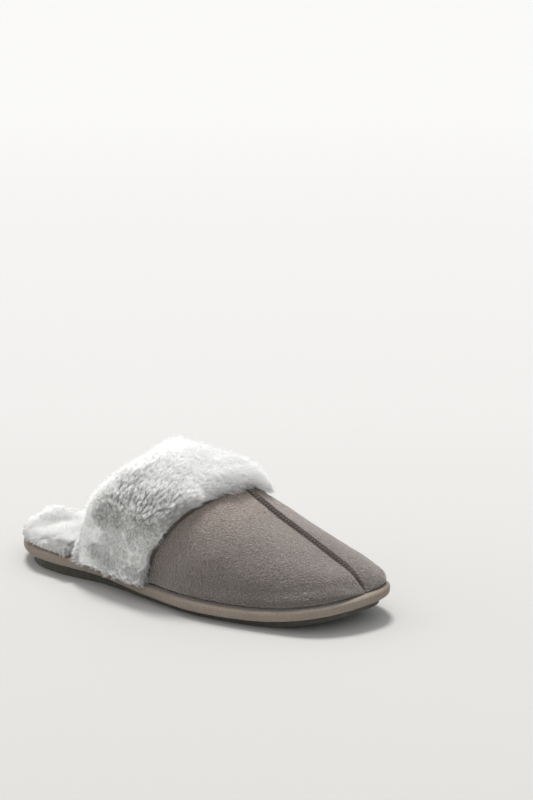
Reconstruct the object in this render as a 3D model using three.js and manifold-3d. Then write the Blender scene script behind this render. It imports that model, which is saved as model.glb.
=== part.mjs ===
// A right-foot mule house slipper: a rubber outsole, a foam platform wrapped in ribbed binding, a pile
// footbed, a suede upper of two panels with a raised centre seam, and a wide faux-fur cuff.
// Millimetres. +X points to the toe, +Y to the inner (medial) side of the foot and +Z up.
import * as THREE from "three";
import { mergeVertices } from "three/addons/utils/BufferGeometryUtils.js";
import Module from "manifold-3d";

// ---- driving dimensions -------------------------------------------------------------------------

// Plan view of the platform's outer edge, clockwise from the toe along the lateral side.
const OUTLINE = [
  [131, 8], [127.5, -3.5], [121, -16], [110, -29], [97, -37], [76, -43], [50, -47.3],
  [22, -49], [-12, -43.5], [-50, -35.8], [-86, -35.5], [-108, -30.5], [-124, -17.5],
  [-131, 2], [-126, 20], [-112, 30.5], [-90, 34], [-50, 31.5], [-12, 34.5],
  [22, 42.3], [50, 44.5], [76, 40.8], [99, 36.8], [114, 32.3], [124.5, 25.5], [129.8, 17.5],
];

// Side view of the platform's underside: low under the ball of the foot, sprung up at the toe.
const PLATFORM_UNDERSIDE = [
  [-131, 7.8], [-95, 8.4], [-60, 7.6], [-20, 5.4], [20, 4.5], [55, 4.6], [80, 6.2], [105, 10.4],
  [131, 15.2],
];
const PLATFORM_HEIGHT = 7;

// Side view of the outsole's underside: flat on the floor up to the ball, then rising to the toe.
const TREAD_UNDERSIDE = [[-131, 0], [58, 0], [80, 1.5], [105, 5.8], [131, 10.6]];
const OUTSOLE_INSET = 6.5;
const GROOVE = { width: 2.6, depth: 1.3, pitch: 9, margin: 7 }; // margin: plain rubber at the edge
const GROOVED_ZONES = [[-111, -66], [-8, 106]];

const GAP = 0.3; // between pieces that touch on the real slipper
const BINDING = { thickness: 1.2, lip: 6, flange: 9, cornerRadius: 2.4, stations: 84 };
const MIDSOLE_INSET = 2.6;
const BOARD_THICKNESS = 1.2;
const FOOTBED_FOAM = [[-131, 3], [70, 3], [115, 1.6]]; // thickness along the foot
const FOOTBED_PILE = [[-131, 6.5], [60, 6.5], [112, 1.8]];
const FOOTBED_INSET = [[-131, 3], [-78, 3], [-71, 17], [-60, 17], [131, 15.5]];

// The upper stands on the platform's rim, this far in from its outer edge.
const UPPER_INSET = 4.5;
// The crest of the instep, where the two suede panels meet, from the topline to the toe.
const SEAM = [
  [-20, 6.5, 81.8], [-5, 6.5, 80.8], [13, 6, 77.4], [33, 5.4, 71], [45, 4, 65], [62, 2.4, 56.6],
  [80, 1.4, 48.2], [100, -0.2, 38.8], [111, -1, 33.2], [117.5, -1.5, 27.6],
];
const SEAM_END_Y = -2; // where the seam reaches the rim, beside the toe's foremost point
const TOPLINE_RIM_X = -60; // where the topline reaches the rim, on both sides
const ROUNDNESS = { lateral: 2.6, medial: 3 }; // superellipse exponents of the cross-section
const RIB_BEND = 2.2; // how far the cross-sections near the topline curve round in plan view

const SUEDE_THICKNESS = 1.4;
const PADDING_THICKNESS = 2.5;
const LINING_THICKNESS = 4;
// Shares of the upper's length: the cuff's inner leg covers the lining's start, and the inner layers
// stop a little short of the toe seam.
const LINING_START = 0.2;
const PADDING_END = 0.95;
const LINING_END = 0.92;
// The ridge rises out of the suede between two shares of the upper's length ahead of the cuff.
const SEAM_RIDGE = { height: 1.8, width: 1.3, rises: [0.03, 0.07] };
// Its overlock stitches begin that share ahead of the cuff and end at the other.
const SEAM_THREAD = { radius: 0.45, pitch: 3.4, reach: 2.5, start: 0.06, end: 0.92 };

const CUFF = {
  pile: 10.5, // outer leg, from the suede to the tips of the fur
  innerPile: 5.5,
  frontRimX: { lateral: -13.5, medial: 6 },
  frontSeamX: 32,
  lead: { lateral: 0, medial: 0.065 }, // how far the front edge swings forward above the middle
  rollLength: 8,
};
// The outer leg's section, from its sewn front edge to the topline: [share of the way, share of the pile].
const CUFF_SECTION = [
  [1, 0.125], [0.97, 0.58], [0.86, 0.94], [0.68, 1], [0.5, 1], [0.34, 1], [0.17, 1], [0, 1],
];
const CUFF_THREAD = { radius: 0.6, ahead: 0.012 };

// ---- mesh building ------------------------------------------------------------------------------

const vec = (x, y, z) => new THREE.Vector3(x, y, z);
const steps = (count) => Array.from({ length: count + 1 }, (_, i) => i / count);
const mix = (a, b, t) => a + (b - a) * t;

// A smooth curve value = f(x) through a few [x, value] points, level beyond its ends and wherever
// two neighbouring points are level.
function profile(points) {
  const last = points.length - 1;
  const slopes = points.map((point, i) => {
    const before = points[Math.max(i - 1, 0)];
    const after = points[Math.min(i + 1, last)];
    const level = (point[1] === before[1] && i > 0) || (point[1] === after[1] && i < last);
    return level ? 0 : (after[1] - before[1]) / (after[0] - before[0]);
  });
  return (x) => {
    if (x <= points[0][0]) return points[0][1];
    if (x >= points[last][0]) return points[last][1];
    const i = points.findIndex((p) => p[0] > x) - 1;
    const [x0, v0] = points[i];
    const [x1, v1] = points[i + 1];
    const span = x1 - x0;
    const t = (x - x0) / span;
    const s = 1 - t;
    return (
      s * s * (1 + 2 * t) * v0 + t * t * (3 - 2 * t) * v1 +
      span * s * t * (s * slopes[i] - t * slopes[i + 1])
    );
  };
}

// A closed solid from stations, each a ribbon of paired points: { outer: [...], inner: [...] }.
// A station whose points all meet makes a pointed end. A looped solid has no ends.
function ribbonSolid(stations, looped = false) {
  const positions = [];
  const index = [];
  const known = new Map();
  const add = (p) => {
    const key = [p.x, p.y, p.z].map((c) => Math.round(c * 500)).join();
    if (!known.has(key)) {
      known.set(key, positions.length / 3);
      positions.push(p.x, p.y, p.z);
    }
    return known.get(key);
  };
  const triangle = (a, b, c) => {
    if (a !== b && b !== c && c !== a) index.push(a, b, c);
  };
  const quad = (a, b, c, d) => {
    triangle(a, b, c);
    triangle(a, c, d);
  };
  const rings = stations.map(({ outer, inner }) => [...outer, ...[...inner].reverse()].map(add));
  const size = rings[0].length;
  const bands = looped ? rings.length : rings.length - 1;
  for (let i = 0; i < bands; i++) {
    const ring = rings[i];
    const next = rings[(i + 1) % rings.length];
    for (let k = 0; k < size; k++) {
      const l = (k + 1) % size;
      quad(ring[k], ring[l], next[l], next[k]);
    }
  }
  const cap = (ring, facing) => {
    for (let k = 0; k < size / 2 - 1; k++) {
      const corners = [ring[k], ring[size - 1 - k], ring[size - 2 - k], ring[k + 1]];
      quad(...(facing ? corners : corners.reverse()));
    }
  };
  if (!looped) {
    cap(rings[0], true);
    cap(rings[rings.length - 1], false);
  }
  const geometry = new THREE.BufferGeometry();
  geometry.setAttribute("position", new THREE.Float32BufferAttribute(positions, 3));
  geometry.setIndex(signedVolume(positions, index) < 0 ? index.reverse() : index);
  geometry.computeVertexNormals();
  return geometry;
}

function signedVolume(positions, index) {
  const corner = (i) => vec().fromArray(positions, 3 * index[i]);
  let volume = 0;
  for (let i = 0; i < index.length; i += 3) {
    volume += corner(i).dot(corner(i + 1).cross(corner(i + 2))) / 6;
  }
  return volume;
}

// A thread: a six-sided tube along a list of points.
function thread(points, radius, looped = false) {
  const count = points.length;
  const stations = points.map((point, i) => {
    const before = points[looped ? (i + count - 1) % count : Math.max(i - 1, 0)];
    const after = points[looped ? (i + 1) % count : Math.min(i + 1, count - 1)];
    const along = after.clone().sub(before).normalize();
    const side = vec(0, 0, 1).cross(along).normalize();
    const up = along.clone().cross(side);
    const corners = steps(6).map((share) => {
      const angle = share * 2 * Math.PI;
      return point.clone().addScaledVector(side, radius * Math.cos(angle))
        .addScaledVector(up, radius * Math.sin(angle));
    });
    return { outer: corners.slice(0, 3), inner: [corners[5], corners[4], corners[3]] };
  });
  return ribbonSolid(stations, looped);
}

// ---- the platform's outline and levels ----------------------------------------------------------

const platformUnderside = profile(PLATFORM_UNDERSIDE);
const treadUnderside = profile(TREAD_UNDERSIDE);
const platformTop = (x) => platformUnderside(x) + PLATFORM_HEIGHT;

const outlineCurve = new THREE.CatmullRomCurve3(
  OUTLINE.map(([x, y]) => vec(x, y, 0)), true, "centripetal",
);
outlineCurve.arcLengthDivisions = 2000;

// Points round the outline, moved in by a distance that may depend on x.
function insetOutline(inset, count) {
  const distance = typeof inset === "function" ? inset : () => inset;
  return steps(count).slice(0, count).map((u) => {
    const point = outlineCurve.getPointAt(u);
    const along = outlineCurve.getTangentAt(u);
    const outward = vec(-along.y, along.x, 0);
    return point.addScaledVector(outward, -distance(point.x));
  });
}

// The two sides of an inset outline: its ends, and y as a function of x on each side.
function outlineSides(inset) {
  const loop = insetOutline(inset, 900);
  const xs = loop.map((p) => p.x);
  const toe = xs.indexOf(Math.max(...xs));
  const heel = xs.indexOf(Math.min(...xs));
  const chain = (from, to) => {
    const points = [];
    for (let i = from; ; i = (i + 1) % loop.length) {
      points.push(loop[i]);
      if (i === to) return points;
    }
  };
  const sideY = (points) => (x) => {
    const i = Math.max(1, points.findIndex((p) => p.x >= x));
    const [a, b] = [points[i - 1], points[i]];
    return mix(a.y, b.y, THREE.MathUtils.clamp((x - a.x) / (b.x - a.x || 1), 0, 1));
  };
  return {
    heelX: xs[heel],
    toeX: xs[toe],
    lateral: sideY(chain(toe, heel).reverse()),
    medial: sideY(chain(heel, toe)),
  };
}

// A flat-ish layer that fills an inset outline between two levels.
function layer(inset, bottom, top, stationCount = 44) {
  const { heelX, toeX, lateral, medial } = outlineSides(inset);
  const stations = steps(stationCount).map((share) => {
    const x = mix(heelX, toeX, (1 - Math.cos(share * Math.PI)) / 2);
    const level = (z) => [vec(x, lateral(x), z), vec(x, medial(x), z)];
    return { outer: level(top(x)), inner: level(bottom(x)) };
  });
  return ribbonSolid(stations);
}

// ---- the upper's surface ------------------------------------------------------------------------

// The point on an inset outline beside the toe where the seam comes down to the rim.
function seamEnd(inset) {
  const { toeX, lateral } = outlineSides(inset);
  const toeRegion = 14;
  const x = bisect((at) => lateral(at) - SEAM_END_Y, toeX - toeRegion, toeX);
  return vec(x, SEAM_END_Y, platformTop(x) + GAP);
}

// The root of an increasing function between low and high.
function bisect(f, low, high) {
  let [a, b] = [low, high];
  for (let i = 0; i < 40; i++) {
    const middle = (a + b) / 2;
    if (f(middle) < 0) a = middle;
    else b = middle;
  }
  return (a + b) / 2;
}

// The rim line of one side, from the topline forward to the seam's end, at a depth inside the upper.
function rimCurve(side, depth) {
  const loop = insetOutline(UPPER_INSET + depth, 180);
  const end = seamEnd(UPPER_INSET + depth);
  const onSide = side === "lateral"
    ? loop.filter((p) => p.y < SEAM_END_Y && p.x > TOPLINE_RIM_X).reverse()
    : rotateToHeel(loop.filter((p) => p.y > SEAM_END_Y && p.x > TOPLINE_RIM_X));
  const startY = outlineSides(UPPER_INSET + depth)[side](TOPLINE_RIM_X);
  const start = vec(TOPLINE_RIM_X, startY, 0);
  const near = 1.5;
  const between = onSide.filter((p) => p.distanceTo(start) > near && planDistance(p, end) > near);
  return new THREE.CatmullRomCurve3(
    [start, ...between, end].map(({ x, y }) => vec(x, y, platformTop(x) + GAP)),
  );
}

const planDistance = (a, b) => Math.hypot(a.x - b.x, a.y - b.y);

// The medial points run from the heel round the toe: start them where the gap in the loop is.
function rotateToHeel(points) {
  const gapWidth = 20;
  const gap = points.findIndex((p, i) => i > 0 && p.distanceTo(points[i - 1]) > gapWidth);
  return gap < 0 ? points : [...points.slice(gap), ...points.slice(0, gap)];
}

// The crest line at a depth inside the upper, meeting the rim at the toe.
function crestCurve(depth) {
  const line = SEAM.map((p) => vec(...p));
  const end = seamEnd(UPPER_INSET + depth);
  const moved = line.map((point, i) => {
    const before = line[Math.max(i - 1, 0)];
    const after = line[i + 1] ?? seamEnd(UPPER_INSET);
    const along = after.clone().sub(before).normalize();
    return point.clone().addScaledVector(vec(-along.z, 0, along.x), -depth);
  });
  return new THREE.CatmullRomCurve3([...moved, end]);
}

const surfaces = new Map();
function surfaceAt(side, depth) {
  const key = side + depth;
  if (!surfaces.has(key)) {
    surfaces.set(key, { rim: rimCurve(side, depth), crest: crestCurve(depth) });
  }
  return surfaces.get(key);
}

// A point of the upper: along runs from the topline, 0, to the toe, 1; rise from the rim, 0, to the
// crest, 1; depth is how far it lies inside the suede's face. Negative along goes behind the topline.
function upperPoint(side, along, rise, depth) {
  const { rim, crest } = surfaceAt(side, depth);
  const share = Math.max(along, 0);
  const foot = rim.getPointAt(share);
  const top = crest.getPointAt(share);
  const power = 2 / ROUNDNESS[side];
  const arc = steps(40).map((s) => {
    const angle = (s * Math.PI) / 2;
    const inward = Math.cos(angle) ** power;
    const height = Math.sin(angle) ** power;
    const forward = inward ** mix(RIB_BEND, 1, share);
    return vec(mix(top.x, foot.x, forward), mix(top.y, foot.y, inward), mix(foot.z, top.z, height));
  });
  const lengths = [0];
  for (let i = 1; i < arc.length; i++) lengths.push(lengths[i - 1] + arc[i].distanceTo(arc[i - 1]));
  const wanted = rise * lengths[40];
  const i = Math.max(1, lengths.findIndex((l) => l >= wanted - 1e-9));
  const t = (wanted - lengths[i - 1]) / (lengths[i] - lengths[i - 1] || 1);
  return arc[i - 1].clone().lerp(arc[i], THREE.MathUtils.clamp(t, 0, 1));
}

const RIB_STEPS = 8;
const toeSpacing = (s) => Math.sin((s * Math.PI) / 2); // stations crowd towards the toe

// One side's panel of the upper between two depths and two shares of its length. Its centre edge stops
// just short of the other side's, and may stand up beside the seam as a ridge.
function panel(side, depth, thickness, [start, end], ridgeHeight = () => 0) {
  const away = vec(0, side === "lateral" ? -1 : 1, 0);
  const row = (along, atDepth, height) => {
    const rib = steps(RIB_STEPS).map((rise) => upperPoint(side, along, rise, atDepth));
    const crest = rib.pop();
    const room = rib[0].distanceTo(crest);
    const fit = (length, share) => Math.min(length, share * room);
    const [clear, width] = [fit(GAP / 2, 0.02), fit(SEAM_RIDGE.width, 0.1)];
    const beside = (distance, lift) => crest.clone().addScaledVector(away, distance)
      .addScaledVector(crestNormal(along), fit(lift, 0.2));
    return [...rib, beside(clear + width, 0), beside(clear + width * 0.8, height), beside(clear, height)];
  };
  return ribbonSolid(steps(22).map((s) => {
    const along = mix(start, end, toeSpacing(s));
    const outer = row(along, depth, ridgeHeight(along));
    return { outer, inner: row(along, depth + thickness, 0) };
  }));
}

// The direction straight out of the crest, in the side view.
function crestNormal(along) {
  const step = surfaceAt("lateral", 0).crest.getTangentAt(Math.min(along, 0.98));
  return vec(-step.z, 0, step.x).normalize();
}

// The share of the upper's length at which a curve from the topline to the toe passes x.
const shareAt = (curve, x) => bisect((share) => curve.getPointAt(share).x - x, 0, 0.8);

// The cuff's front edge as a share of the upper's length, from the rim up to the crest.
function cuffFront(side, rise) {
  const { rim, crest } = surfaceAt(side, 0);
  const climb = Math.sin((rise * Math.PI) / 2) ** 1.3;
  const swing = CUFF.lead[side] * Math.sin(rise ** 2 * Math.PI);
  return mix(shareAt(rim, CUFF.frontRimX[side]), shareAt(crest, CUFF.frontSeamX), climb) + swing;
}

// Each side's rises from the lateral rim over the crest to the medial rim.
function overTheInstep(count) {
  const up = steps(count);
  const down = up.slice(0, -1).reverse();
  return [...up.map((rise) => ["lateral", rise]), ...down.map((rise) => ["medial", rise])];
}

// ---- the pieces ---------------------------------------------------------------------------------

// Moulded rubber with straight grooves across the heel and the forefoot.
function outsole(wasm) {
  const body = layer(OUTSOLE_INSET, treadUnderside, (x) => platformUnderside(x) - GAP);
  const { lateral, medial } = outlineSides(OUTSOLE_INSET + GROOVE.margin);
  const cutters = GROOVED_ZONES.flatMap(([from, to]) => {
    const count = Math.floor((to - from) / GROOVE.pitch);
    return steps(count).map((share) => {
      const x = mix(from, to, share);
      const below = 4; // the cutter starts under the tread
      const bar = new THREE.BoxGeometry(GROOVE.width, medial(x) - lateral(x), GROOVE.depth + below);
      const z = treadUnderside(x) + (GROOVE.depth - below) / 2;
      return bar.translate(x, (medial(x) + lateral(x)) / 2, z);
    });
  });
  return combine(wasm, body, cutters, "subtract");
}

// The foam under the foot, with a rebate round its underside for the binding's glued flange.
function midsole(wasm) {
  const shy = BINDING.thickness + GAP;
  const main = layer(
    MIDSOLE_INSET, (x) => platformUnderside(x) + shy, (x) => platformTop(x) - shy,
  );
  const boss = layer(
    BINDING.flange + 3 * GAP, platformUnderside, (x) => platformUnderside(x) + 2 * shy,
  );
  return combine(wasm, main, [boss], "add");
}

// Ribbed tape wrapped round the platform's edge: a lip on top, a rounded face and a flange beneath.
function binding() {
  const { thickness, lip, flange, cornerRadius } = BINDING;
  const section = (inner) => {
    const skin = inner ? thickness : 0;
    const corner = (angle) => [
      cornerRadius - (cornerRadius - skin) * Math.sin(angle),
      cornerRadius - (cornerRadius - skin) * Math.cos(angle),
    ];
    const turn = steps(2).map((share) => corner((share * Math.PI) / 2));
    const upper = [[lip, skin], ...turn].map(([inset, drop]) => [inset, PLATFORM_HEIGHT - drop]);
    const lower = [...turn.reverse(), [flange, skin]];
    return [...upper, ...lower];
  };
  const [outer, inner] = [section(false), section(true)];
  const rows = outer.map(([inset]) => insetOutline(inset, BINDING.stations));
  const innerRows = inner.map(([inset]) => insetOutline(inset, BINDING.stations));
  return ribbonSolid(rows[0].map((_, i) => {
    const raise = (lines, points) => lines.map((line, k) => (
      line[i].clone().setZ(platformUnderside(line[i].x) + points[k][1])
    ));
    return { outer: raise(rows, outer), inner: raise(innerRows, inner) };
  }), true);
}

// Faux fur sewn over the topline: a deep outer leg, a roll behind the edge and a leg inside.
function cuff() {
  const innerFace = SUEDE_THICKNESS + PADDING_THICKNESS + 2 * GAP;
  const centre = (innerFace + CUFF.innerPile - CUFF.pile) / 2;
  const radius = (innerFace + CUFF.innerPile + CUFF.pile) / 2;
  const innerLeg = steps(4).map((share) => share * (LINING_START - 0.02));
  const edge = 4 * GAP;
  const stations = overTheInstep(RIB_STEPS).map(([side, rise]) => {
    const front = cuffFront(side, rise);
    const at = (along, depth) => upperPoint(side, along, rise, depth);
    const back = at(0, 0).sub(at(0.03, 0)).normalize();
    const behind = (distance, depth) => {
      const point = at(0, depth).addScaledVector(back, distance);
      point.z = Math.max(point.z, platformTop(point.x) + GAP);
      return point;
    };
    const roll = [0.25, 0.5, 0.75].map((share) => behind(
      CUFF.rollLength * Math.sin(share * Math.PI), centre - radius * Math.cos(share * Math.PI),
    ));
    const leg = (depth) => CUFF_SECTION.map(([share, height]) => at(front * share, depth(height)));
    return {
      outer: [
        ...leg((height) => -GAP - height * CUFF.pile), ...roll,
        ...innerLeg.map((along) => at(along, innerFace + CUFF.innerPile * (1 - 1.5 * along))),
      ],
      inner: [
        ...leg(() => -2 * GAP), behind(edge, -2 * GAP), behind(edge, innerFace / 2),
        behind(edge, innerFace),
        ...innerLeg.map((along) => at(along, innerFace + GAP)),
      ],
    };
  });
  return ribbonSolid(stations);
}

// The overlock stitches that bind the two turned-up panel edges, as one thread over the ridge.
function seamThread() {
  const { radius, pitch, reach, start, end } = SEAM_THREAD;
  const { crest } = surfaceAt("lateral", 0);
  const from = shareAt(crest, CUFF.frontSeamX) + start;
  const count = Math.round(((end - from) * crest.getLength()) / pitch);
  const top = SEAM_RIDGE.height + GAP + radius;
  const [low, shoulder] = [radius + 2 * GAP, 0.85 * reach];
  const stitch = [[-reach, low], [-shoulder, top], [shoulder, top],
    [reach, low], [shoulder, top], [-shoulder, top]];
  const points = steps(count * stitch.length).map((share, i) => {
    const along = mix(from, end, share);
    const [across, lift] = stitch[i % stitch.length];
    return crest.getPointAt(along).addScaledVector(crestNormal(along), lift).add(vec(0, across, 0));
  });
  return thread(points, radius);
}

// The line of stitches that holds the cuff's front edge down on the suede.
function cuffThread() {
  const { radius, ahead } = CUFF_THREAD;
  const clearance = radius + GAP;
  return thread(overTheInstep(24).map(([side, rise]) => {
    const lift = rise > 0.9 ? SEAM_RIDGE.height + clearance : clearance;
    return upperPoint(side, cuffFront(side, rise) + ahead, Math.max(rise, 0.02), -lift);
  }), radius);
}

// A boolean by manifold-3d: the body joined with, or cut by, each of the other geometries.
function combine(wasm, body, others, operation) {
  const solid = (geometry) => {
    const bare = geometry.clone();
    bare.deleteAttribute("normal");
    bare.deleteAttribute("uv");
    const { attributes, index } = mergeVertices(bare, 1e-4);
    return new wasm.Manifold(new wasm.Mesh({
      numProp: 3, vertProperties: attributes.position.array, triVerts: new Uint32Array(index.array),
    }));
  };
  let result = solid(body);
  for (const other of others) result = result[operation](solid(other));
  const mesh = result.getMesh();
  const geometry = new THREE.BufferGeometry();
  geometry.setAttribute("position", new THREE.BufferAttribute(mesh.vertProperties, 3));
  geometry.setIndex(new THREE.BufferAttribute(mesh.triVerts, 1));
  geometry.computeVertexNormals();
  return geometry;
}

const wasm = await Module();
wasm.setup();
const slipper = new THREE.Group();

function addPiece(name, geometry, color, roughness) {
  const material = new THREE.MeshStandardMaterial({ color, roughness, metalness: 0 });
  const mesh = new THREE.Mesh(geometry, material);
  mesh.name = name;
  slipper.add(mesh);
}

addPiece("outsole", outsole(wasm), 0x504f47, 0.7);
addPiece("midsole_foam", midsole(wasm), 0xd9d5cc, 0.9);
addPiece("platform_binding", binding(), 0xa5998e, 0.8);
addPiece("insole_board", layer(
  BINDING.lip + 3 * GAP, (x) => platformTop(x) - BOARD_THICKNESS, platformTop,
), 0x9a8468, 0.9);

const footbedInset = profile(FOOTBED_INSET);
const [foamThickness, pileHeight] = [profile(FOOTBED_FOAM), profile(FOOTBED_PILE)];
const foamTop = (x) => platformTop(x) + GAP + foamThickness(x);
addPiece("footbed_foam", layer(
  footbedInset, (x) => platformTop(x) + GAP, foamTop,
), 0xe8e4da, 0.95);
addPiece("footbed_fur", layer(
  footbedInset, (x) => foamTop(x) + GAP, (x) => foamTop(x) + GAP + pileHeight(x),
), 0xe0e0de, 1);

const paddingDepth = SUEDE_THICKNESS + GAP;
const liningDepth = paddingDepth + PADDING_THICKNESS + GAP;
// The ridge runs from the cuff's front edge to the toe.
const ridgeStart = shareAt(surfaceAt("lateral", 0).crest, CUFF.frontSeamX);
const [ridgeLow, ridgeHigh] = SEAM_RIDGE.rises.map((share) => ridgeStart + share);
const ridge = (along) => SEAM_RIDGE.height * THREE.MathUtils.smoothstep(along, ridgeLow, ridgeHigh);
for (const side of ["lateral", "medial"]) {
  const suede = panel(side, 0, SUEDE_THICKNESS, [0, 1], ridge);
  const padding = panel(side, paddingDepth, PADDING_THICKNESS, [0, PADDING_END]);
  const lining = panel(side, liningDepth, LINING_THICKNESS, [LINING_START, LINING_END]);
  addPiece(`vamp_${side}`, suede, 0x9c9088, 0.95);
  addPiece(`vamp_padding_${side}`, padding, 0xe6e1d8, 0.95);
  addPiece(`vamp_lining_${side}`, lining, 0xd8d8d6, 1);
}
addPiece("centre_seam_thread", seamThread(), 0x8d8279, 0.8);
addPiece("fur_cuff", cuff(), 0xe2e3e1, 1);
addPiece("cuff_seam_thread", cuffThread(), 0x8d8279, 0.8);

// The origin is the middle of the bounding box, on the floor.
const box = new THREE.Box3().setFromObject(slipper);
const middle = box.getCenter(vec());
slipper.position.set(-middle.x, -middle.y, -box.min.z);

export default slipper;
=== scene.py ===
import math

import bpy
import numpy as np
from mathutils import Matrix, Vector
from mathutils.kdtree import KDTree


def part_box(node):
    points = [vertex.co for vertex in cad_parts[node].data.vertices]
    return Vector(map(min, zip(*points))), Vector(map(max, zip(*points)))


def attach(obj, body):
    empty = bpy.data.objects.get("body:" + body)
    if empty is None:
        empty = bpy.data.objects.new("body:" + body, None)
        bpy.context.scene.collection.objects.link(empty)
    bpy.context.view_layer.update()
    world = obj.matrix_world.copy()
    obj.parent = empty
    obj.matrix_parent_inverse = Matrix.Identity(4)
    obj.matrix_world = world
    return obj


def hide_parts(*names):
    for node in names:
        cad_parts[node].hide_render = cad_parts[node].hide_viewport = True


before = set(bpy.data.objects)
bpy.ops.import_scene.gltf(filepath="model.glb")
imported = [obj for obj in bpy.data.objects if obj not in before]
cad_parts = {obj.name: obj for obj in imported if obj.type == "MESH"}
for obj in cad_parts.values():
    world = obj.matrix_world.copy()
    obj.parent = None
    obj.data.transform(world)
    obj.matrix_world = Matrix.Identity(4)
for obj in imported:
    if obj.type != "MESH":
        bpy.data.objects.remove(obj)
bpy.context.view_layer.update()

MM = 0.001

# ---- driving dimensions, the CAD part's own ---------------------------------------------------------

OUTLINE = [
    (131, 8), (127.5, -3.5), (121, -16), (110, -29), (97, -37), (76, -43), (50, -47.3),
    (22, -49), (-12, -43.5), (-50, -35.8), (-86, -35.5), (-108, -30.5), (-124, -17.5),
    (-131, 2), (-126, 20), (-112, 30.5), (-90, 34), (-50, 31.5), (-12, 34.5),
    (22, 42.3), (50, 44.5), (76, 40.8), (99, 36.8), (114, 32.3), (124.5, 25.5), (129.8, 17.5),
]
PLATFORM_UNDERSIDE = [
    (-131, 7.8), (-95, 8.4), (-60, 7.6), (-20, 5.4), (20, 4.5), (55, 4.6), (80, 6.2), (105, 10.4),
    (131, 15.2),
]
PLATFORM_HEIGHT = 7
GAP = 0.3
BINDING = {"thickness": 1.2, "lip": 6, "flange": 9, "corner": 2.4}
FOOTBED_FOAM = [(-131, 3), (70, 3), (115, 1.6)]
FOOTBED_PILE = [(-131, 6.5), (60, 6.5), (112, 1.8)]
FOOTBED_INSET = [(-131, 3), (-78, 3), (-71, 17), (-60, 17), (131, 15.5)]
UPPER_INSET = 4.5
SEAM = [
    (-20, 6.5, 81.8), (-5, 6.5, 80.8), (13, 6, 77.4), (33, 5.4, 71), (45, 4, 65), (62, 2.4, 56.6),
    (80, 1.4, 48.2), (100, -0.2, 38.8), (111, -1, 33.2), (117.5, -1.5, 27.6),
]
SEAM_END_Y = -2
TOPLINE_RIM_X = -60
ROUNDNESS = {"lateral": 2.6, "medial": 3}
RIB_BEND = 2.2
SUEDE_THICKNESS = 1.4
PADDING_THICKNESS = 2.5
LINING_THICKNESS = 4
LINING_SPAN = (0.2, 0.92)
CUFF = {"pile": 10.5, "inner_pile": 5.5, "roll": 8, "front_seam_x": 32}
CUFF_FRONT_RIM_X = {"lateral": -13.5, "medial": 6}
CUFF_LEAD = {"lateral": 0, "medial": 0.065}
SIDES = ("lateral", "medial")

# ---- small mathematics ------------------------------------------------------------------------------


def mix(a, b, t):
    return a + (b - a) * t


def smoothstep(x, low, high):
    t = np.clip((x - low) / (high - low), 0, 1)
    return t * t * (3 - 2 * t)


def unit(vectors):
    length = np.linalg.norm(vectors, axis=-1, keepdims=True)
    return vectors / np.maximum(length, 1e-9)


def profile(points):
    """A smooth curve value = f(x) through (x, value) points, as the CAD part draws it."""
    xs, values = np.array(points, float).T
    last = len(xs) - 1
    slopes = np.zeros(len(xs))
    for i in range(len(xs)):
        before, after = max(i - 1, 0), min(i + 1, last)
        level = (i > 0 and values[i] == values[before]) or (i < last and values[i] == values[after])
        slopes[i] = 0 if level else (values[after] - values[before]) / (xs[after] - xs[before])

    def value(x):
        x = np.clip(np.asarray(x, float), xs[0], xs[-1])
        i = np.clip(np.searchsorted(xs, x, side="right") - 1, 0, last - 1)
        span = xs[i + 1] - xs[i]
        t = (x - xs[i]) / span
        s = 1 - t
        ends = s * s * (1 + 2 * t) * values[i] + t * t * (3 - 2 * t) * values[i + 1]
        return ends + span * s * t * (s * slopes[i] - t * slopes[i + 1])

    return value


class Spline:
    """A centripetal Catmull-Rom curve through points, looked up by its share of the length."""

    def __init__(self, points, closed=False, steps=24):
        p = np.array(points, float)
        if closed:
            p = np.concatenate([p[-1:], p, p[:2]])
        else:
            p = np.concatenate([2 * p[:1] - p[1:2], p, 2 * p[-1:] - p[-2:-1]])
        gaps = np.maximum(np.linalg.norm(np.diff(p, axis=0), axis=1) ** 0.5, 1e-6)
        before, here, after = gaps[:-2, None], gaps[1:-1, None], gaps[2:, None]
        a, b, c, d = p[:-3], p[1:-2], p[2:-1], p[3:]
        leave = ((b - a) / before - (c - a) / (before + here) + (c - b) / here) * here
        arrive = ((c - b) / here - (d - b) / (here + after) + (d - c) / after) * here
        t = (np.arange(steps) / steps)[None, :, None]
        b, c, leave, arrive = b[:, None], c[:, None], leave[:, None], arrive[:, None]
        line = (
            b + leave * t + (3 * (c - b) - 2 * leave - arrive) * t**2
            + (2 * (b - c) + leave + arrive) * t**3
        )
        self.line = np.concatenate([line.reshape(-1, 3), p[-2:-1]])
        self.reach = np.concatenate([[0], np.cumsum(np.linalg.norm(np.diff(self.line, axis=0), axis=1))])
        self.length = self.reach[-1]

    def at(self, share):
        wanted = np.clip(share, 0, 1) * self.length
        return np.stack([np.interp(wanted, self.reach, self.line[:, k]) for k in range(3)], -1)

    def along(self, share):
        return unit(self.at(np.minimum(share + 1e-3, 1)) - self.at(np.maximum(share - 1e-3, 0)))

    def share_at_x(self, x):
        grid = np.linspace(0, 0.8, 800)
        return np.interp(x, self.at(grid)[:, 0], grid)


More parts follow.
